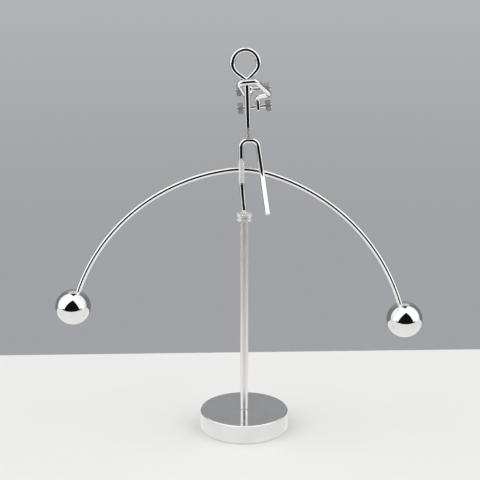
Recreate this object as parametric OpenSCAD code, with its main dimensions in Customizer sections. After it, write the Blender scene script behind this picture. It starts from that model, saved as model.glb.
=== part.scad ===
// Counterweight balancing toy: a bent-wire figure stands on one foot on a slim post and is kept
// upright by two balls on a long bent rod that hang below the foot.
// Millimetres, +Z up, the object rests on z = 0, the figure's back is towards -Y.

/* [Base] */
// Diameter of the round base
base_d = 60; // [50:0.5:80]
// Thickness of the round base
base_t = 12.6; // [9:0.1:20]
// Chamfer on the rims of the base
base_edge = 0.6; // [0.4:0.1:1.2]
// Diameter of the soft pad under the base
pad_d = 54; // [40:0.5:56]
// Thickness of the pad
pad_t = 1.5; // [1.3:0.1:2.5]
// Depth of the recess that holds the pad
pad_recess = 1.1; // [0.4:0.1:1.4]

/* [Screw] */
// Shank diameter of the screw that holds the post
screw_d = 3; // [2.5:0.1:3.2]
// Head diameter of the screw
screw_head_d = 5.5; // [5:0.1:7]
// Head height of the screw
screw_head_t = 3; // [2:0.1:4]
// Length of the shank that reaches into the post
screw_bite = 8; // [5:0.5:12]
// Width across flats of the key socket
screw_key = 2.5; // [1.5:0.1:3]

/* [Post] */
// Diameter of the post
post_d = 5.4; // [4.8:0.1:8]
// Height of the post above the base
post_h = 134.3; // [100:0.5:180]
// Chamfer at the foot of the post
post_chamfer = 0.4; // [0.2:0.1:0.6]
// Diameter of the collar at the top of the post
collar_d = 10; // [8.5:0.1:14]
// Thickness of the collar
collar_t = 1.6; // [1:0.1:3]
// Radius of the rounded rims of collar and cup disc
rim_r = 0.3; // [0.2:0.05:0.45]

/* [Cup] */
// Diameter of the cup disc
cup_d = 10.4; // [9.4:0.1:15]
// Thickness of the cup disc
cup_t = 1.8; // [1.6:0.1:4]
// Diameter of the waist between cup disc and collar
waist_d = 9.2; // [6:0.1:9.4]
// Height of the waist
waist_t = 1.3; // [0.8:0.1:2.5]
// Diameter of the stem that turns in the post
stem_d = 3; // [2.5:0.1:3.2]
// Length of the stem
stem_l = 6.5; // [4:0.5:10]
// Width of the dish in the cup disc
dish_d = 6.5; // [6:0.1:7]
// Slope of the dish wall from level
dish_slope = 28; // [20:1:32]

/* [Pivot ball] */
// Diameter of the ball in the standing foot
pivot_d = 2; // [1.8:0.05:2.1]
// Length of the tapered end of the standing leg
foot_l = 3; // [2:0.1:5]
// Diameter of the leg's end around the ball
foot_tip_d = 2.5; // [2.4:0.05:2.8]

/* [Figure wire] */
// Wire diameter of legs, body and arms
wire_d = 3.5; // [3:0.1:3.6]
// Bend radius of tight wire corners
bend_r = 3; // [2.4:0.1:3.4]
// Bend radius of the knees
knee_r = 8; // [5:0.5:12]
// Set-down where two wires are fused together
weld_set = 0.3; // [0.2:0.05:0.5]

/* [Legs] */
// Height of the standing knee above the pivot
knee_h = 21; // [18:0.5:24]
// Sideways lean of the standing shin
knee_x = -1.8; // [-4:0.1:-0.5]
// Height of the hip bar above the pivot
hip_h = 48.8; // [44:0.2:56]
// Sideways step of the hip past the standing knee
hip_step = 0.3; // [0:0.05:1]
// Distance between the two legs at the hip
hip_w = 10.4; // [9.5:0.1:16]
// Bend radius of the hip corners
hip_r = 4; // [3.2:0.1:4.5]
// Drop of the free thigh below the hip bar
thigh_drop = 22.2; // [18:0.2:28]
// Outward reach of the free thigh
thigh_out = 3.3; // [1:0.1:8]
// Drop of the free shin
shin_drop = 22.6; // [15:0.2:24]
// Outward reach of the free shin
shin_out = 3.4; // [1:0.1:8]
// Backward reach of the free shin
shin_back = 16; // [8:0.2:20]

/* [Body and head] */
// Sideways place of the torso on the hip bar
torso_x = 2.6; // [2.2:0.05:4]
// Lean of the torso, negative to the left
torso_lean = -1.6; // [-6:0.1:3]
// Length of the torso from hip bar to neck
torso_l = 38.5; // [32:0.5:46]
// Radius of the head loop at the wire's centre
head_r = 8.3; // [7:0.1:9.5]
// Height of the loop's centre above the neck
head_rise = 11.1; // [10.6:0.1:13]
// Tilt of the head, negative to the left
head_tilt = -4.5; // [-15:0.5:10]

/* [Arms] */
// Drop of the shoulder bar below the neck
shoulder_drop = 0.8; // [0.6:0.1:4]
// Half width of the shoulders
shoulder_w = 5.7; // [5.6:0.1:8]
// Tilt of the shoulders, negative with the left side down
shoulder_tilt = -5; // [-10:0.5:4]
// Sideways place of the left elbow
left_elbow_x = -2.6; // [-6:0.1:-1.5]
// Sideways place of the right elbow
right_elbow_x = 14.4; // [12:0.1:15]
// Forward reach of the elbows
elbow_y = 13; // [12:0.1:14.5]
// Drop of the left elbow below the shoulder bar
left_elbow_drop = 8.6; // [7:0.1:10]
// Drop of the right elbow below the shoulder bar
right_elbow_drop = 10.4; // [8:0.1:11.5]
// Forward reach of the hands
hand_y = 19.5; // [18.5:0.1:22]
// Sideways place of the left hand
left_hand_x = 1.9; // [1.4:0.1:2.1]
// Sideways place of the right hand
right_hand_x = 5.9; // [5.7:0.1:6.5]
// Drop of the left wrist below the shoulder bar
left_wrist_drop = 10.2; // [9.6:0.1:10.6]
// Drop of the right wrist below the shoulder bar
right_wrist_drop = 12; // [11.4:0.1:13]
// Length of each hand past its dumbbell bar
hand_past = 1.7; // [1.5:0.1:2.5]

/* [Dumbbells] */
// Sideways place of both dumbbells
bar_x = 3.4; // [3:0.1:5]
// Drop of the upper bar below the shoulder bar
upper_drop = 7; // [6.6:0.1:7.2]
// Drop of the lower bar below the shoulder bar
lower_drop = 18.6; // [17.4:0.1:20]
// Slant of the lower dumbbell
lower_slant = 1; // [-4:0.5:8]
// Diameter of a dumbbell bar
bar_d = 2.8; // [2.4:0.1:3.2]
// Spacing of the two weights of a dumbbell
weight_gap = 18.5; // [16:0.1:22]
// Diameter of a weight
weight_d = 7.4; // [6:0.1:8]
// Thickness of a weight
weight_t = 3.6; // [3:0.1:5]
// Length of the bar outside each weight
bar_past = 0.5; // [0.2:0.1:1.2]
// Chamfer on the weights
weight_chamfer = 0.6; // [0.3:0.1:0.9]

/* [Balance rod] */
// Diameter of the balance rod
rod_d = 3.6; // [3:0.1:3.8]
// Height of the rod's crown above the pivot
crown_h = 29.2; // [28:0.1:32]
// Sideways place of the rod's crown
crown_x = 0.05; // [-1.5:0.05:1.5]
// Bend radius at the crown
crown_r = 55; // [50:1:80]
// Angle of the crown bend on the left
left_crown_angle = 9.6; // [8:0.1:16]
// Angle of the crown bend on the right
right_crown_angle = 12.2; // [8:0.1:16]
// Bend radius of the long left arm
left_arm_r = 124.6; // [110:0.2:150]
// Bend radius of the long right arm
right_arm_r = 131.9; // [110:0.2:150]
// Angle of the long left arm
left_arm_angle = 62.9; // [50:0.1:66]
// Angle of the long right arm
right_arm_angle = 57.9; // [50:0.1:66]
// Tilt of the rod, positive with the right end down
rod_tilt = 2.45; // [-1:0.05:4]
// Pitch of the rod, positive with the ends to the back
rod_pitch = 2.85; // [0:0.05:5]

/* [Balls] */
// Diameter of the left counterweight ball
left_ball_d = 23.6; // [18:0.1:30]
// Diameter of the right counterweight ball
right_ball_d = 24; // [18:0.1:30]
// Depth of the hole that takes the rod
ball_hole = 10; // [6:0.5:12]

/* [Solder] */
// Length of the solder sleeve on the leg above the rod
rod_solder_up = 7.2; // [5:0.2:9]
// Length of the solder sleeve on the leg below the rod
rod_solder_down = 8.6; // [5:0.2:8.8]
// Thickness of the solder on the leg
rod_solder_t = 0.35; // [0.25:0.05:0.8]
// Thickness of the solder where it runs out
solder_edge = 0.1; // [0.05:0.05:0.2]
// Height of the solder on the torso
hip_solder_h = 6.6; // [4:0.2:9]
// Thickness of the solder at the torso's foot
hip_solder_t = 0.3; // [0.25:0.05:0.8]

/* [Clearances] */
// Radial clearance of the screw in the base
screw_clear = 0.2; // [0.1:0.05:0.4]
// Radial clearance of the screw head in its counterbore
head_clear = 0.4; // [0.2:0.05:0.8]
// Depth of the screw head below the pad
head_sunk = 1; // [0.5:0.1:2]
// Radial running clearance of the stem in the post
stem_clear = 0.05; // [0.03:0.01:0.1]
// Gap under the cup's waist
cup_gap = 0.1; // [0.05:0.05:0.3]
// Clearance around the pivot ball
pivot_clear = 0.08; // [0.05:0.01:0.1]

/* [Hidden] */
$fn = 64;
swell = 0.04;
lap = 0.1;
over = 1;
base_z = pad_t - pad_recess;
base_top = base_z + base_t;
post_top = base_top + post_h;
cup_bottom = post_top + cup_gap;
cup_top = cup_bottom + waist_t + cup_t;
seat_r = pivot_d / 2 + pivot_clear;
dish_drop = seat_r / cos(dish_slope);
pivot_z = cup_top + dish_drop - dish_d / 2 * tan(dish_slope);
dish_z = pivot_z - seat_r * cos(dish_slope);
dish_h = cup_top - dish_z + over;
dish_r = seat_r * sin(dish_slope);
head_z = base_z + pad_recess + head_sunk;
head_top = head_z + screw_head_t;

foot = [0, 0, pivot_z];
knee = [knee_x, 0, pivot_z + knee_h];
hip_left = [knee_x - hip_step, 0, pivot_z + hip_h];
hip_right = hip_left + [hip_w, 0, 0];
free_knee = hip_right + [thigh_out, 0, -thigh_drop];
free_end = free_knee + [shin_out, -shin_back, -shin_drop];
leg_points = [foot, knee, hip_left, hip_right, free_knee, free_end];

torso_foot = [torso_x, 0, pivot_z + hip_h];
torso_dir = [sin(torso_lean), 0, cos(torso_lean)];
torso_start = torso_foot + (wire_d / 2 - weld_set) * torso_dir;
neck = torso_foot + torso_l * torso_dir;
head_half = asin(head_r / head_rise);

shoulder = neck - shoulder_drop * torso_dir - [0, wire_d - weld_set, 0];
bar_y = hand_y + (wire_d + bar_d) / 2 - weld_set;
left_hand_end = -upper_drop + hand_past;
right_hand_end = -lower_drop - hand_past;
arm_points = [[left_hand_x, hand_y, left_hand_end], [left_hand_x, hand_y, -left_wrist_drop],
    [left_elbow_x, elbow_y, -left_elbow_drop], [-shoulder_w, 0, 0], [shoulder_w, 0, 0],
    [right_elbow_x, elbow_y, -right_elbow_drop], [right_hand_x, hand_y, -right_wrist_drop],
    [right_hand_x, hand_y, right_hand_end]];

rod_y = (wire_d + rod_d) / 2 - weld_set;
crown = [crown_x, rod_y, pivot_z + crown_h];
left_arm = [left_crown_angle, left_arm_r, left_arm_angle];
right_arm = [right_crown_angle, right_arm_r, right_arm_angle];

// Centre, end and end direction of a long arm of the rod, in the rod's own plane
function arm_centre(arm) = [(crown_r - arm[1]) * sin(arm[0]), (crown_r - arm[1]) * cos(arm[0]) - crown_r];
function rod_end(arm) = arm_centre(arm) + arm[1] * [sin(arm[0] + arm[2]), cos(arm[0] + arm[2])];
function rod_dir(arm) = [cos(arm[0] + arm[2]), -sin(arm[0] + arm[2])];
function flat(p) = [p[0], 0, p[1]];
function unit(v) = v / norm(v);
function axes(x, y, z, o) = [[x[0], y[0], z[0], o[0]], [x[1], y[1], z[1], o[1]],
    [x[2], y[2], z[2], o[2]], [0, 0, 0, 1]];
function corner_trim(a, b, c, r) = r * tan(acos(unit(b - a) * unit(c - b)) / 2);

// A straight length of round stock from p to q, tapering from d1 to d2
module straight(p, q, d1, d2) {
    w = unit(q - p);
    u = unit(cross(abs(w[1]) < 0.9 ? [0, 1, 0] : [1, 0, 0], w));
    multmatrix(axes(u, cross(w, u), w, p)) cylinder(h = norm(q - p), d1 = d1, d2 = d2);
}

// A round bend at corner b on the way from a to c, swollen a hair as bent wire is
module corner(a, b, c, r, d) {
    u = unit(b - a);
    v = unit(c - b);
    n = unit(v - (u * v) * u);
    t = corner_trim(a, b, c, r);
    multmatrix(axes(-n, u, cross(u, n), b - t * u + r * n))
        rotate_extrude(angle = acos(u * v)) translate([r, 0]) circle(d = d + swell);
}

// Round wire along corner points, with a bend radius for each inner corner
module bent_wire(pts, radii, d) {
    last = len(pts) - 1;
    for (i = [0 : last - 1]) {
        w = unit(pts[i + 1] - pts[i]);
        t0 = i == 0 ? 0 : corner_trim(pts[i - 1], pts[i], pts[i + 1], radii[i - 1]);
        t1 = i + 1 == last ? 0 : corner_trim(pts[i], pts[i + 1], pts[i + 2], radii[i]);
        straight(pts[i] + (t0 - (i == 0 ? 0 : lap)) * w,
            pts[i + 1] - (t1 - (i + 1 == last ? 0 : lap)) * w, d, d);
        if (i + 1 < last) corner(pts[i], pts[i + 1], pts[i + 2], radii[i], d);
    }
}

// Disc with chamfered rims standing on z = 0
module edged_disc(d, t, c) {
    rotate_extrude() polygon([[0, 0], [d / 2 - c, 0], [d / 2, c], [d / 2, t - c], [d / 2 - c, t], [0, t]]);
}

// Disc with rounded rims standing on z = 0
module round_disc(d, t, r) {
    rotate_extrude() {
        square([d / 2 - r, t]);
        translate([0, r]) square([d / 2, t - 2 * r]);
        translate([d / 2 - r, r]) circle(r = r);
        translate([d / 2 - r, t - r]) circle(r = r);
    }
}

module base_disc() {
    color([0.80, 0.81, 0.83]) difference() {
        translate([0, 0, base_z]) edged_disc(base_d, base_t, base_edge);
        translate([0, 0, base_z - over]) cylinder(h = pad_recess + over, d = pad_d);
        translate([0, 0, base_z]) cylinder(h = head_top - base_z, d = screw_head_d + 2 * head_clear);
        translate([0, 0, base_z]) cylinder(h = base_t + over, d = screw_d + 2 * screw_clear);
    }
}

module base_pad() {
    color([0.08, 0.08, 0.09]) cylinder(h = pad_t, d = pad_d);
}

module post_screw() {
    color([0.35, 0.35, 0.37]) difference() {
        union() {
            translate([0, 0, head_z]) cylinder(h = screw_head_t, d = screw_head_d);
            translate([0, 0, head_z]) cylinder(h = base_top + screw_bite - head_z, d = screw_d);
        }
        translate([0, 0, head_z - over])
            cylinder(h = over + screw_head_t / 2, d = screw_key / cos(30), $fn = 6);
    }
}

module post() {
    color([0.72, 0.72, 0.72]) difference() {
        union() {
            translate([0, 0, base_top])
                cylinder(h = post_chamfer, d1 = post_d - 2 * post_chamfer, d2 = post_d);
            translate([0, 0, base_top + post_chamfer]) cylinder(h = post_h - post_chamfer, d = post_d);
        }
        translate([0, 0, base_top - over]) cylinder(h = screw_bite + 2 * over, d = screw_d);
        translate([0, 0, post_top - stem_l - over])
            cylinder(h = stem_l + 2 * over, d = stem_d + 2 * stem_clear);
    }
}

module post_collar() {
    color([0.74, 0.74, 0.74]) difference() {
        translate([0, 0, post_top - collar_t]) round_disc(collar_d, collar_t, rim_r);
        translate([0, 0, post_top - collar_t - over]) cylinder(h = collar_t + 2 * over, d = post_d);
    }
}

module pivot_cup() {
    color([0.78, 0.78, 0.78]) difference() {
        union() {
            translate([0, 0, cup_bottom + waist_t]) round_disc(cup_d, cup_t, rim_r);
            translate([0, 0, cup_bottom]) cylinder(h = waist_t + cup_t / 4, d = waist_d);
            translate([0, 0, cup_bottom - stem_l]) cylinder(h = stem_l + waist_t / 2, d = stem_d);
        }
        translate([0, 0, pivot_z]) sphere(r = seat_r);
        translate([0, 0, dish_z])
            cylinder(h = dish_h, r1 = dish_r, r2 = dish_r + dish_h / tan(dish_slope));
    }
}

module pivot_ball() {
    color([0.55, 0.55, 0.57]) translate(foot) sphere(d = pivot_d);
}

// The standing leg ends in a taper with a socket for the pivot ball
module leg_solid() {
    w = unit(knee - foot);
    up = foot + foot_l * w;
    bent_wire([up, knee, hip_left, hip_right, free_knee, free_end], [knee_r, hip_r, hip_r, knee_r], wire_d);
    straight(foot + 0.25 * pivot_d * w, up + lap * w, foot_tip_d, wire_d - swell);
}

module leg_wire() {
    color([0.78, 0.79, 0.81]) difference() {
        leg_solid();
        translate(foot) sphere(r = seat_r);
    }
}

// Torso, neck bend and head loop are one wire; the loop's end is closed onto the neck
module body_wire() {
    left = head_tilt - head_half;
    right = head_tilt + head_half;
    side = head_r / tan(head_half);
    left_at = neck + side * [sin(left), 0, cos(left)];
    right_at = neck + side * [sin(right), 0, cos(right)];
    centre = neck + head_rise * [sin(head_tilt), 0, cos(head_tilt)];
    out = [-cos(left), 0, sin(left)];
    color([0.78, 0.79, 0.81]) difference() {
        union() {
            bent_wire([torso_start, neck, left_at + lap * unit(left_at - neck)], [bend_r], wire_d);
            straight(neck, right_at + lap * unit(right_at - neck), wire_d - 2 * swell, wire_d - 2 * swell);
            multmatrix(axes(out, [sin(left), 0, cos(left)], [0, 1, 0], centre))
                rotate_extrude(angle = 180 + 2 * head_half)
                    translate([head_r, 0]) circle(d = wire_d + swell);
        }
        leg_solid();
    }
}

module in_arms() {
    translate(shoulder) rotate([0, shoulder_tilt, 0]) children();
}

// Dressed end of a hand
module hand_tip(p, way) {
    straight(p - [0, 0, way * lap], p + [0, 0, way * wire_d * 0.2], wire_d - swell, wire_d * 0.66);
}

module arm_solid() {
    in_arms() {
        bent_wire(arm_points, [bend_r, bend_r, bend_r, bend_r, bend_r, bend_r], wire_d);
        hand_tip(arm_points[0], 1);
        hand_tip(arm_points[7], -1);
    }
}

module arm_wire() {
    color([0.78, 0.79, 0.81]) difference() {
        arm_solid();
        body_wire();
    }
}

module on_bar(drop, slant) {
    in_arms() translate([bar_x, bar_y, -drop]) rotate([0, 90 - slant, 0]) children();
}

module bar(drop, slant) {
    l = weight_gap + weight_t + 2 * bar_past;
    color([0.78, 0.79, 0.81]) difference() {
        on_bar(drop, slant) translate([0, 0, -l / 2]) cylinder(h = l, d = bar_d);
        arm_solid();
    }
}

module weight(drop, slant, side) {
    color([0.36, 0.36, 0.37]) on_bar(drop, slant)
        translate([0, 0, side * weight_gap / 2 - weight_t / 2]) difference() {
            edged_disc(weight_d, weight_t, weight_chamfer);
            translate([0, 0, -over]) cylinder(h = weight_t + 2 * over, d = bar_d);
        }
}

module upper_bar() { bar(upper_drop, 0); }
module upper_left_weight() { weight(upper_drop, 0, -1); }
module upper_right_weight() { weight(upper_drop, 0, 1); }
module lower_bar() { bar(lower_drop, lower_slant); }
module lower_left_weight() { weight(lower_drop, lower_slant, -1); }
module lower_right_weight() { weight(lower_drop, lower_slant, 1); }

// Places a shape drawn with the crown at the origin and the rod in the XZ plane
module on_crown() {
    translate(crown) rotate([-rod_pitch, 0, 0]) rotate([0, rod_tilt, 0]) children();
}

module rod_arm(arm) {
    a = arm[0] - lap / arm[1] * 180 / PI;
    end = rod_end(arm);
    dir = rod_dir(arm);
    multmatrix(axes([sin(a), 0, cos(a)], [cos(a), 0, -sin(a)], [0, 1, 0], flat(arm_centre(arm))))
        rotate_extrude(angle = arm[0] + arm[2] - a) translate([arm[1], 0]) circle(d = rod_d);
    straight(flat(end - lap * dir), flat(end + ball_hole * dir), rod_d - swell, rod_d - swell);
}

module rod_solid() {
    a = left_crown_angle;
    on_crown() {
        multmatrix(axes([-sin(a), 0, cos(a)], [cos(a), 0, sin(a)], [0, 1, 0], [0, 0, -crown_r]))
            rotate_extrude(angle = left_crown_angle + right_crown_angle)
                translate([crown_r, 0]) circle(d = rod_d + swell);
        rod_arm(right_arm);
        mirror([1, 0, 0]) rod_arm(left_arm);
    }
}

module balance_rod() {
    color([0.78, 0.79, 0.81]) difference() {
        rod_solid();
        leg_solid();
    }
}

// A ball drilled for the rod's end
module ball(side) {
    arm = side < 0 ? left_arm : right_arm;
    d = side < 0 ? left_ball_d : right_ball_d;
    at = rod_end(arm) + d / 2 * rod_dir(arm);
    mouth = rod_end(arm) - rod_d * rod_dir(arm);
    bottom = rod_end(arm) + ball_hole * rod_dir(arm);
    color([0.82, 0.83, 0.85]) on_crown() difference() {
        translate([side * at[0], 0, at[1]]) rotate([0, 0, 90 - 90 * side]) sphere(d = d, $fn = 96);
        straight([side * mouth[0], 0, mouth[1]], [side * bottom[0], 0, bottom[1]],
            rod_d - swell, rod_d - swell);
    }
}

module left_ball() { ball(-1); }
module right_ball() { ball(1); }

// Solder that has run along the standing leg where the rod crosses behind it
module rod_solder() {
    w = unit(hip_left - knee);
    at = knee + (crown_h - knee_h) * w;
    r = wire_d / 2;
    color([0.66, 0.67, 0.66]) difference() {
        multmatrix(axes(unit(cross([0, 1, 0], w)), cross(w, unit(cross([0, 1, 0], w))), w, at))
            rotate_extrude() polygon([[0, -rod_solder_down], [r + solder_edge, -rod_solder_down],
                [r + rod_solder_t, -0.5 * rod_solder_down], [r + rod_solder_t, 0.3 * rod_solder_up],
                [r + solder_edge, rod_solder_up], [0, rod_solder_up]]);
        leg_solid();
        rod_solid();
    }
}

// Solder cone around the foot of the torso
module hip_solder() {
    r = wire_d / 2;
    top = r + hip_solder_h;
    color([0.66, 0.67, 0.66]) difference() {
        multmatrix(axes([cos(torso_lean), 0, -sin(torso_lean)], [0, 1, 0], torso_dir, torso_foot))
            rotate_extrude() polygon([[0, r / 3], [r + hip_solder_t, r / 3], [r + hip_solder_t, 1.4 * r],
                [r + solder_edge, top], [0, top]]);
        leg_solid();
        straight(torso_foot, torso_foot + (top + over) * torso_dir, wire_d, wire_d);
    }
}

base_disc();
base_pad();
post_screw();
post();
post_collar();
pivot_cup();
pivot_ball();
leg_wire();
body_wire();
arm_wire();
upper_bar();
upper_left_weight();
upper_right_weight();
lower_bar();
lower_left_weight();
lower_right_weight();
balance_rod();
left_ball();
right_ball();
rod_solder();
hip_solder();
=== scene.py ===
import math

import bmesh
import bpy
from mathutils import Matrix, Vector, noise


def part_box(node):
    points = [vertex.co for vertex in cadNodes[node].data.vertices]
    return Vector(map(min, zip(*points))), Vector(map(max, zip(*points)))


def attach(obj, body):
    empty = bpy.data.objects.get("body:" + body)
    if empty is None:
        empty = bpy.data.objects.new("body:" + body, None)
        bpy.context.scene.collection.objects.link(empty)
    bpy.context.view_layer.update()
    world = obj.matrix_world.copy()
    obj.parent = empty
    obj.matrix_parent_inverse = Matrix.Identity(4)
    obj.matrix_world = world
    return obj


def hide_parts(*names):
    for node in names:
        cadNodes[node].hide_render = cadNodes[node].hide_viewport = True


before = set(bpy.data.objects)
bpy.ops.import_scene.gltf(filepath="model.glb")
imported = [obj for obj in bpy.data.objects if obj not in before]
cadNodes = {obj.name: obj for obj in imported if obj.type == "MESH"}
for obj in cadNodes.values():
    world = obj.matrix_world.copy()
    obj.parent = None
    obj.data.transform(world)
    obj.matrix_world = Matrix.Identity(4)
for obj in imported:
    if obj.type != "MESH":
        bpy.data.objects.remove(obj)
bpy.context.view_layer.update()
scene = bpy.context.scene
scene.view_settings.view_transform = "Standard"
mm = 0.001
print("frame loaded with", len(cadNodes), "nodes")

# camera, level with no roll, looking down a little at the toy from behind the figure
cameraSettings = {"place": (-0.00287, -0.677, 0.301), "pitchDown": 13.97, "lens": 79.1, "sensor": 36.0}
cameraData = bpy.data.cameras.new("camera")
cameraData.lens = cameraSettings["lens"]
cameraData.sensor_width = cameraSettings["sensor"]
cameraData.clip_start = 0.01
camera = bpy.data.objects.new("camera", cameraData)
camera.location = cameraSettings["place"]
camera.rotation_euler = (math.radians(90 - cameraSettings["pitchDown"]), 0, 0)
scene.collection.objects.link(camera)
scene.camera = camera
print("camera set")


# adds a node; inputs take plain values or sockets to link
def addNode(tree, kind, inputs=None, **settings):
    made = tree.nodes.new(kind)
    for key, value in settings.items():
        setattr(made, key, value)
    for key, value in (inputs or {}).items():
        if isinstance(value, bpy.types.NodeSocket):
            tree.links.new(value, made.inputs[key])
        else:
            made.inputs[key].default_value = value
    return made


def addMath(tree, operation, a, b=0.0):
    return addNode(tree, "ShaderNodeMath", {0: a, 1: b}, operation=operation).outputs[0]


def smoothStep(tree, value, start, end):
    made = addNode(tree, "ShaderNodeMapRange", {"Value": value, "From Min": start, "From Max": end},
                   interpolation_type="SMOOTHSTEP")
    return made.outputs["Result"]


def mixColour(tree, share, a, b):
    made = addNode(tree, "ShaderNodeMix", data_type="RGBA")
    for socket, value in ((0, share), (6, a), (7, b)):
        if isinstance(value, bpy.types.NodeSocket):
            tree.links.new(value, made.inputs[socket])
        else:
            made.inputs[socket].default_value = value
    return made.outputs[2]


# a direction from its bearing to the right of the front and its height, in degrees
def direction(bearing, height):
    b, h = math.radians(bearing), math.radians(height)
    return Vector((math.sin(b) * math.cos(h), -math.cos(b) * math.cos(h), math.sin(h)))


def grey(level):
    return (level, level, level, 1)


# soft white tent: side panels that lean together overhead, a dark opening in front, a grey wall behind
tent = {
    "openLeft": (-50, -4), "openRight": (50, -4), "openTop": (9, 61),
    "gapLeft": (-143, 66), "gapRight": (145, 60), "gapTip": (100, 86.5),
    "leftEnd": ((-150, 64), (-106, 2)), "rightEnd": ((144, 59), (106, 10)),
    "edgeSoft": 0.035, "endSoft": 0.32, "ridgeSoft": 0.05, "openBack": 0.1,
    "lowWide": 66, "lowFrom": (-1, -3.5),
    "panelGloss": 1.25, "panelSpread": 1.62, "openingLight": 0.008,
    "wallLight": 0.36, "cornerLight": 0.21, "wallFrom": (2, 17), "wallWide": (0.8, 0.99),
    "highLight": 0.7, "highFrom": (36, 42), "highTo": (58, 66), "highWide": (0.28, 0.42),
    "wallSeen": (0.355, 0.365, 0.378, 1), "wallSeenHigh": (0.46, 0.468, 0.478, 1), "seenFrom": (-0.24, 0.06),
}


def buildWorld():
    world = bpy.data.worlds.new("tent")
    scene.world = world
    world.use_nodes = True
    tree = world.node_tree
    tree.nodes.clear()
    ray = addNode(tree, "ShaderNodeTexCoord").outputs["Generated"]
    parts = addNode(tree, "ShaderNodeSeparateXYZ", {0: ray})

    def beyond(a, b, inside, soft):
        normal = a.cross(b).normalized()
        if normal.dot(inside) < 0:
            normal = -normal
        reach = addNode(tree, "ShaderNodeVectorMath", {0: ray, 1: normal}, operation="DOT_PRODUCT")
        return smoothStep(tree, reach.outputs["Value"], -soft / 2, soft / 2)

    def inTriangle(a, b, c):
        middle = (a + b + c).normalized()
        soft = tent["edgeSoft"]
        share = addMath(tree, "MULTIPLY", beyond(a, c, middle, soft), beyond(b, c, middle, soft))
        return share, addMath(tree, "MULTIPLY", share, beyond(a, b, middle, soft))

    opening = inTriangle(direction(*tent["openLeft"]), direction(*tent["openRight"]),
                         direction(*tent["openTop"]))[0]
    front = addMath(tree, "LESS_THAN", parts.outputs["Y"], tent["openBack"])
    opening = addMath(tree, "MULTIPLY", opening, front)

    # below the horizon the opening is wider
    flat = addNode(tree, "ShaderNodeVectorMath", {0: ray, 1: (1, 1, 0)}, operation="MULTIPLY").outputs[0]
    level = addNode(tree, "ShaderNodeVectorMath", {0: flat}, operation="NORMALIZE").outputs[0]
    bearing = addNode(tree, "ShaderNodeSeparateXYZ", {0: level}).outputs["Y"]
    side = -math.cos(math.radians(tent["lowWide"]))
    drop = [math.sin(math.radians(h)) for h in tent["lowFrom"]]
    ahead = smoothStep(tree, bearing, side + tent["edgeSoft"], side - tent["edgeSoft"])
    low = addMath(tree, "MULTIPLY", ahead, smoothStep(tree, parts.outputs["Z"], drop[0], drop[1]))
    opening = addMath(tree, "MAXIMUM", opening, low)
    gap = inTriangle(direction(*tent["gapLeft"]), direction(*tent["gapRight"]),
                     direction(*tent["gapTip"]))[1]

    # each panel ends at its own back edge; behind lies the wall
    def panelTo(end):
        upper, lower = [direction(*corner) for corner in tent[end]]
        return beyond(upper, lower, Vector((0, -1, 0)), tent["endSoft"])

    onRight = smoothStep(tree, parts.outputs["X"], -tent["ridgeSoft"], tent["ridgeSoft"])
    sides = {0: onRight, 2: panelTo("leftEnd"), 3: panelTo("rightEnd")}
    panel = addNode(tree, "ShaderNodeMix", sides).outputs[0]

    # the wall is lightest straight behind and above the horizon, and has a pale band high up
    lift = [math.sin(math.radians(h)) for h in tent["wallFrom"]]
    lit = addMath(tree, "MULTIPLY", smoothStep(tree, bearing, *tent["wallWide"]),
                  smoothStep(tree, parts.outputs["Z"], lift[0], lift[1]))
    wall = mixColour(tree, lit, grey(tent["cornerLight"]), grey(tent["wallLight"]))
    heights = [math.sin(math.radians(h)) for h in tent["highFrom"] + tent["highTo"]]
    band = addMath(tree, "MULTIPLY", smoothStep(tree, parts.outputs["Z"], heights[0], heights[1]),
                   smoothStep(tree, parts.outputs["Z"], heights[3], heights[2]))
    aside = addMath(tree, "ABSOLUTE", parts.outputs["X"])
    band = addMath(tree, "MULTIPLY", band, smoothStep(tree, aside, tent["highWide"][1], tent["highWide"][0]))
    wall = mixColour(tree, band, wall, grey(tent["highLight"]))

    rays = addNode(tree, "ShaderNodeLightPath")
    glossy = rays.outputs["Is Glossy Ray"]
    white = mixColour(tree, glossy, grey(tent["panelSpread"]), grey(tent["panelGloss"]))
    dark = grey(tent["openingLight"])
    colour = mixColour(tree, panel, wall, white)
    colour = mixColour(tree, opening, colour, dark)
    colour = mixColour(tree, gap, colour, dark)

    # the wall that the camera sees
    higher = smoothStep(tree, parts.outputs["Z"], *tent["seenFrom"])
    seen = mixColour(tree, higher, tent["wallSeen"], tent["wallSeenHigh"])
    colour = mixColour(tree, rays.outputs["Is Camera Ray"], colour, seen)
    light = addNode(tree, "ShaderNodeBackground", {"Color": colour, "Strength": 1.0})
    addNode(tree, "ShaderNodeOutputWorld", {"Surface": light.outputs[0]})


buildWorld()
print("light tent built")


mergeReach = 0.002 * mm


# makes an object at the origin from a bmesh, with shared points merged and faces outwards
def makeObject(name, bm, smooth=True):
    bmesh.ops.remove_doubles(bm, verts=bm.verts[:], dist=mergeReach)
    bmesh.ops.recalc_face_normals(bm, faces=bm.faces[:])
    for face in bm.faces:
        face.smooth = smooth
    mesh = bpy.data.meshes.new(name)
    bm.to_mesh(mesh)
    bm.free()
    made = bpy.data.objects.new(name, mesh)
    scene.collection.objects.link(made)
    return made


# white table whose far edge shows behind the base
table = {"left": -1.2, "right": 1.2, "front": -0.32, "back": 0.149, "backSlope": 0.037, "thick": 0.02,
         "edge": 0.0012, "colour": (0.86, 0.855, 0.85, 1), "roughness": 0.45,
         "grain": 700.0, "bump": 0.05, "depth": 0.0001, "mirrored": (0.93, 0.915, 0.885, 1)}


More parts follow.
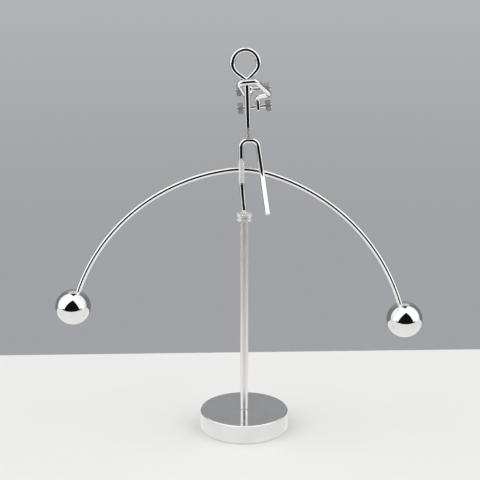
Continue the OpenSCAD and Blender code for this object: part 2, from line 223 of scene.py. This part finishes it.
def buildTable():
    bm = bmesh.new()
    bmesh.ops.create_cube(bm, size=1)
    for v in bm.verts:
        x = table["left"] if v.co.x < 0 else table["right"]
        y = table["front"] if v.co.y < 0 else table["back"] + table["backSlope"] * x
        v.co = (x, y, -table["thick"] if v.co.z < 0 else 0)
    bmesh.ops.bevel(bm, geom=bm.edges[:], offset=table["edge"], affect="EDGES", segments=3, profile=0.5,
                    material=-1)
    top = makeObject("table", bm, smooth=False)
    material = bpy.data.materials.new("tablePaint")
    material.use_nodes = True
    tree = material.node_tree
    shader = tree.nodes["Principled BSDF"]
    shader.inputs["Base Color"].default_value = table["colour"]
    shader.inputs["Roughness"].default_value = table["roughness"]
    place = addNode(tree, "ShaderNodeTexCoord").outputs["Object"]
    grain = addNode(tree, "ShaderNodeTexNoise", {"Vector": place, "Scale": table["grain"], "Detail": 4.0})
    bump = addNode(tree, "ShaderNodeBump", {"Height": grain.outputs[0], "Strength": table["bump"],
                                            "Distance": table["depth"]})
    tree.links.new(bump.outputs[0], shader.inputs["Normal"])

    # metal sees the table as an even white
    rays = addNode(tree, "ShaderNodeLightPath")
    even = addNode(tree, "ShaderNodeEmission", {"Color": table["mirrored"], "Strength": 1.0})
    chosen = addNode(tree, "ShaderNodeMixShader", {0: rays.outputs["Is Glossy Ray"], 1: shader.outputs[0],
                                                   2: even.outputs[0]})
    tree.links.new(chosen.outputs[0], tree.nodes["Material Output"].inputs["Surface"])
    material.cycles.emission_sampling = "NONE"  # it lights nothing, so it isn't sampled as a lamp
    top.data.materials.append(material)


buildTable()
print("table built")


# how all the metals blend their tones, roughness and lathe lines
metalMix = {"patchFrom": 0.35, "patchTo": 0.7, "grainShare": 0.55, "patchShare": 0.45, "roughFrom": 0.3,
            "roughTo": 0.7, "rimSoft": 0.0003, "turnedGrain": 0.3}


# a metal with two tones, a roughness that wanders and, where it shows, a fine bump
def makeMetal(name, finish):
    material = bpy.data.materials.new(name)
    material.use_nodes = True
    tree = material.node_tree
    shader = tree.nodes["Principled BSDF"]
    shader.inputs["Metallic"].default_value = finish["metallic"]
    place = addNode(tree, "ShaderNodeTexCoord").outputs["Object"]
    patch = addNode(tree, "ShaderNodeTexNoise", {"Vector": place, "Scale": finish["patch"], "Detail": 5.0})
    tone = smoothStep(tree, patch.outputs[0], metalMix["patchFrom"], metalMix["patchTo"])
    colour = mixColour(tree, tone, finish["colour"], finish["dull"])
    grainAt = addNode(tree, "ShaderNodeMapping", {"Vector": place, "Scale": finish["stretch"]}).outputs[0]
    grain = addNode(tree, "ShaderNodeTexNoise", {"Vector": grainAt, "Scale": finish["grain"], "Detail": 6.0})
    low, high = finish["rough"]
    mixed = addMath(tree, "ADD", addMath(tree, "MULTIPLY", grain.outputs[0], metalMix["grainShare"]),
                    addMath(tree, "MULTIPLY", patch.outputs[0], metalMix["patchShare"]))
    rough = addNode(tree, "ShaderNodeMapRange", {
        "Value": mixed, "From Min": metalMix["roughFrom"], "From Max": metalMix["roughTo"],
        "To Min": low, "To Max": high}).outputs[0]
    if "polishAndPaintedReflection" in finish:  # smooth at the foot and duller with height; the brighter colour at the foot is a painted reflection of the table that fades with height
        polishAndPaintedReflection = finish["polishAndPaintedReflection"]
        height = addNode(tree, "ShaderNodeSeparateXYZ", {0: place}).outputs["Z"]
        dullingAndPaintedReflectionFade = addNode(tree, "ShaderNodeMapRange", {"Value": height, "From Min": polishAndPaintedReflection["from"],
                                                      "From Max": polishAndPaintedReflection["to"]}).outputs[0]
        kept = addNode(tree, "ShaderNodeMapRange", {"Value": dullingAndPaintedReflectionFade, "To Min": polishAndPaintedReflection["rough"]}).outputs[0]
        rough = addMath(tree, "MULTIPLY", rough, kept)
        # painted reflection: the post is coloured lighter near the foot, where it would mirror the bright
        # table
        colour = mixColour(tree, dullingAndPaintedReflectionFade, polishAndPaintedReflection["colour"], colour)
    if "rim" in finish:  # the edge is worn dull outside this radius and above this height
        radius, start, worn = finish["rim"]
        at = addNode(tree, "ShaderNodeSeparateXYZ", {0: place})
        soft = metalMix["rimSoft"]
        flat = addNode(tree, "ShaderNodeVectorMath", {0: place, 1: (1, 1, 0)}, operation="MULTIPLY")
        reach = addNode(tree, "ShaderNodeVectorMath", {0: flat.outputs[0]}, operation="LENGTH")
        reach = reach.outputs["Value"]
        edge = addMath(tree, "MULTIPLY", smoothStep(tree, reach, radius - soft, radius),
                       smoothStep(tree, at.outputs["Z"], start - soft, start))
        rough = addMath(tree, "ADD", rough, addMath(tree, "MULTIPLY", edge, worn))
    tree.links.new(colour, shader.inputs["Base Color"])
    tree.links.new(rough, shader.inputs["Roughness"])
    height = grain.outputs[0]
    if "turned" in finish:  # lathe lines round the post's axis on flat faces and rims alike
        parts = addNode(tree, "ShaderNodeSeparateXYZ", {0: place})
        square = addMath(tree, "ADD", addMath(tree, "MULTIPLY", parts.outputs[0], parts.outputs[0]),
                         addMath(tree, "MULTIPLY", parts.outputs[1], parts.outputs[1]))
        across = addMath(tree, "ADD", addMath(tree, "SQRT", square), parts.outputs[2])
        lines = addNode(tree, "ShaderNodeTexNoise", {"W": across, "Scale": finish["turned"], "Detail": 3.0},
                        noise_dimensions="1D")
        grainPart = addMath(tree, "MULTIPLY", height, metalMix["turnedGrain"])
        height = addMath(tree, "ADD", grainPart, lines.outputs[0])
    if finish["bump"]:
        bump = addNode(tree, "ShaderNodeBump", {"Height": height, "Strength": finish["bump"],
                                                "Distance": finish["depth"]})
        tree.links.new(bump.outputs[0], shader.inputs["Normal"])
    return material


wireChrome = makeMetal("wireChrome", {
    "colour": (0.90, 0.905, 0.915, 1), "dull": (0.84, 0.845, 0.85, 1), "metallic": 1.0,
    "rough": (0.01, 0.04),
    "patch": 160.0, "grain": 1500.0, "stretch": (1, 1, 1), "bump": 0.01, "depth": 0.00002})
ballChrome = makeMetal("ballChrome", {
    "colour": (0.82, 0.83, 0.845, 1), "dull": (0.78, 0.785, 0.795, 1), "metallic": 1.0,
    "rough": (0.01, 0.05),
    "patch": 140.0, "grain": 900.0, "stretch": (1, 1, 0.2), "bump": 0.0, "depth": 0.0})
baseChrome = makeMetal("baseChrome", {
    "colour": (0.80, 0.81, 0.825, 1), "dull": (0.76, 0.765, 0.775, 1), "metallic": 1.0,
    "rough": (0.03, 0.08),
    "patch": 60.0, "grain": 900.0, "stretch": (1, 1, 1), "bump": 0.03, "depth": 0.00002, "turned": 2500.0,
    "rim": (0.0296, 0.0126, 0.3)})
weightSteel = makeMetal("weightSteel", {
    "colour": (0.37, 0.375, 0.385, 1), "dull": (0.31, 0.315, 0.323, 1), "metallic": 0.5,
    "rough": (0.48, 0.60),
    "patch": 300.0, "grain": 1800.0, "stretch": (1, 1, 1), "bump": 0.06, "depth": 0.00003})
# the post's lighter colour near the foot is a painted reflection of the table
postSatin = makeMetal("postSatin", {
    "colour": (0.68, 0.675, 0.666, 1), "dull": (0.63, 0.63, 0.622, 1), "metallic": 0.72,
    "rough": (0.62, 0.72),
    "patch": 90.0, "grain": 2600.0, "stretch": (1, 1, 0.03), "bump": 0.10, "depth": 0.00003,
    "polishAndPaintedReflection": {"from": 0.015, "to": 0.12, "rough": 0.45, "colour": (0.91, 0.905, 0.895, 1)}})
turnedSatin = makeMetal("turnedSatin", {
    "colour": (0.88, 0.878, 0.87, 1), "dull": (0.82, 0.82, 0.812, 1), "metallic": 0.3,
    "rough": (0.26, 0.34),
    "patch": 200.0, "grain": 2200.0, "stretch": (1, 1, 1), "bump": 0.008, "depth": 0.00002,
    "turned": 4000.0})
screwSteel = makeMetal("screwSteel", {
    "colour": (0.42, 0.42, 0.44, 1), "dull": (0.34, 0.34, 0.35, 1), "metallic": 1.0,
    "rough": (0.28, 0.42),
    "patch": 400.0, "grain": 2500.0, "stretch": (1, 1, 0.1), "bump": 0.15, "depth": 0.00004})
brightSolder = makeMetal("brightSolder", {
    "colour": (0.96, 0.96, 0.952, 1), "dull": (0.84, 0.84, 0.83, 1), "metallic": 0.12,
    "rough": (0.34, 0.46),
    "patch": 500.0, "grain": 1200.0, "stretch": (1, 1, 1), "bump": 0.01, "depth": 0.00006})
dullSolder = makeMetal("dullSolder", {
    "colour": (0.60, 0.60, 0.595, 1), "dull": (0.44, 0.44, 0.43, 1), "metallic": 0.55,
    "rough": (0.42, 0.62),
    "patch": 700.0, "grain": 1200.0, "stretch": (1, 1, 1), "bump": 0.14, "depth": 0.00006})


def makeFoam():
    finish = {"colour": (0.035, 0.035, 0.038, 1), "worn": (0.07, 0.07, 0.073, 1), "rough": 0.92,
              "gloss": 0.25, "cells": 1600.0, "wear": 140.0, "bump": 0.5, "depth": 0.0003}
    material = bpy.data.materials.new("padFoam")
    material.use_nodes = True
    tree = material.node_tree
    shader = tree.nodes["Principled BSDF"]
    shader.inputs["Roughness"].default_value = finish["rough"]
    shader.inputs["Specular IOR Level"].default_value = finish["gloss"]
    place = addNode(tree, "ShaderNodeTexCoord").outputs["Object"]
    cells = addNode(tree, "ShaderNodeTexVoronoi", {"Vector": place, "Scale": finish["cells"]})
    wear = addNode(tree, "ShaderNodeTexNoise", {"Vector": place, "Scale": finish["wear"], "Detail": 5.0})
    colour = mixColour(tree, wear.outputs[0], finish["colour"], finish["worn"])
    tree.links.new(colour, shader.inputs["Base Color"])
    bump = addNode(tree, "ShaderNodeBump", {"Height": cells.outputs[0], "Strength": finish["bump"],
                                            "Distance": finish["depth"]})
    tree.links.new(bump.outputs[0], shader.inputs["Normal"])
    return material


padFoam = makeFoam()
finishes = {
    "base_disc": baseChrome, "base_pad": padFoam, "post_screw": screwSteel, "post": postSatin,
    "post_collar": turnedSatin, "pivot_cup": turnedSatin, "pivot_ball": screwSteel,
    "leg_wire": wireChrome, "body_wire": wireChrome, "arm_wire": wireChrome, "balance_rod": wireChrome,
    "upper_bar": wireChrome, "lower_bar": wireChrome,
    "upper_left_weight": weightSteel, "upper_right_weight": weightSteel,
    "lower_left_weight": weightSteel, "lower_right_weight": weightSteel,
    "left_ball": ballChrome, "right_ball": ballChrome, "rod_solder": brightSolder, "hip_solder": dullSolder,
}
for name, material in finishes.items():
    cadNodes[name].data.materials[0] = material
print("finishes given to", len(finishes), "nodes")


# turns a half profile of (radius, height) points once round +Z
def spinProfile(profile, steps):
    bm = bmesh.new()
    points = [bm.verts.new((r * mm, 0, z * mm)) for r, z in profile]
    edges = [bm.edges.new(pair) for pair in zip(points, points[1:])]
    bmesh.ops.spin(bm, geom=points + edges, cent=(0, 0, 0), axis=(0, 0, 1), angle=math.tau, steps=steps,
                   use_merge=True)
    return bm


# foam pad under the base: a thin disc with a soft rounded rim
pad = {"rim": 0.45, "rimSteps": 5, "steps": 96, "fill": 0.9}


def buildPad():
    low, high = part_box("base_pad")
    radius, thick, r = (high[0] - low[0]) / 2 / mm, (high[2] - low[2]) / mm, pad["rim"]
    turns = [math.pi / 2 * i / pad["rimSteps"] for i in range(pad["rimSteps"] + 1)]
    profile = [(0, 0), (radius / 2, 0)]
    profile += [(radius - r + r * math.sin(a), r - r * math.cos(a)) for a in turns]
    profile += [(radius - r + r * math.cos(a), thick - r + r * math.sin(a)) for a in turns]
    profile += [(radius / 2, thick), (0, thick)]
    made = makeObject("foamPad", spinProfile(profile, pad["steps"]))
    made.data.materials.append(padFoam)
    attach(made, "stand")
    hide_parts("base_pad")


buildPad()
print("foam pad built")

# solder run along the standing leg at the rod, and round the torso's foot; lengths in millimetres
wireRadius = 1.75
solderEdge = {"fade": 9, "skin": 0.02, "least": 0.01, "tongueFrom": 0.5}
legSolder = {"foot": (-1.8, 0, 171.0), "top": (-2.1, 0, 198.8), "crossing": 8.2, "down": 8.8, "up": 8.3,
             "bore": 1.67, "coat": (0.03, 0.06, 0.05, 0.09, 0.06, 0.12, 0.07), "lump": 0.10, "lumpSize": 2.6,
             "fine": 0.01, "fineSize": 0.8, "slant": 6.0, "rings": 56, "steps": 40}
hipSolder = {"foot": (2.6, 0, 198.8), "top": (1.525, 0, 237.28), "crossing": 0, "down": -0.6, "up": 8.35,
             "bore": 1.67, "coat": (0.30, 0.27, 0.22, 0.18, 0.11, 0.05), "lump": 0.08, "lumpSize": 1.6,
             "fine": 0.01, "fineSize": 0.7, "slant": 0.0, "rings": 36, "steps": 36}


# a lumpy closed sleeve round a wire, its coat read along the sleeve from the low end to the high end
def buildSolder(name, solder, node, material):
    foot, top = Vector(solder["foot"]), Vector(solder["top"])
    low, high = solder["crossing"] - solder["down"], solder["crossing"] + solder["up"]
    coat, rings = solder["coat"], solder["rings"]
    outer = []
    for i in range(rings + 1):
        share = i / rings
        at = share * (len(coat) - 1)
        k = min(int(at), len(coat) - 2)
        blend = at - k
        blend = blend * blend * (3 - 2 * blend)
        thick = coat[k] * (1 - blend) + coat[k + 1] * blend
        fade = min(1, share * solderEdge["fade"], (1 - share) * solderEdge["fade"])
        outer.append((wireRadius + thick * math.sqrt(fade), low + (high - low) * share))
    profile = [(solder["bore"], low)] + outer + [(solder["bore"], high)]
    bm = spinProfile(profile + [profile[0]], solder["steps"])
    for v in bm.verts:
        out = Vector((v.co.x, v.co.y, 0))
        reach = out.length / mm - wireRadius
        if reach > solderEdge["skin"]:
            place = v.co / mm
            lump = noise.noise(place / solder["lumpSize"]) * solder["lump"]
            lump += noise.noise(place / solder["fineSize"]) * solder["fine"]
            v.co += out.normalized() * max(lump, solderEdge["least"] - reach) * mm
    # the high end runs to a tongue at the front
    for v in bm.verts:
        share = (v.co.z / mm - low) / (high - low)
        turned = abs(math.atan2(v.co.x, -v.co.y)) / math.pi
        along = max(0, share - solderEdge["tongueFrom"]) / (1 - solderEdge["tongueFrom"])
        v.co.z -= solder["slant"] * turned * along * mm
    way = (top - foot).normalized()
    turn = Vector((0, 0, 1)).rotation_difference(way).to_matrix().to_4x4()
    bmesh.ops.transform(bm, matrix=Matrix.Translation(foot * mm) @ turn, verts=bm.verts[:])
    made = makeObject(name, bm)
    made.data.materials.append(material)
    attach(made, "figure")
    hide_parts(node)


buildSolder("legSolder", legSolder, "rod_solder", brightSolder)
buildSolder("hipSolder", hipSolder, "hip_solder", dullSolder)
print("solder built")
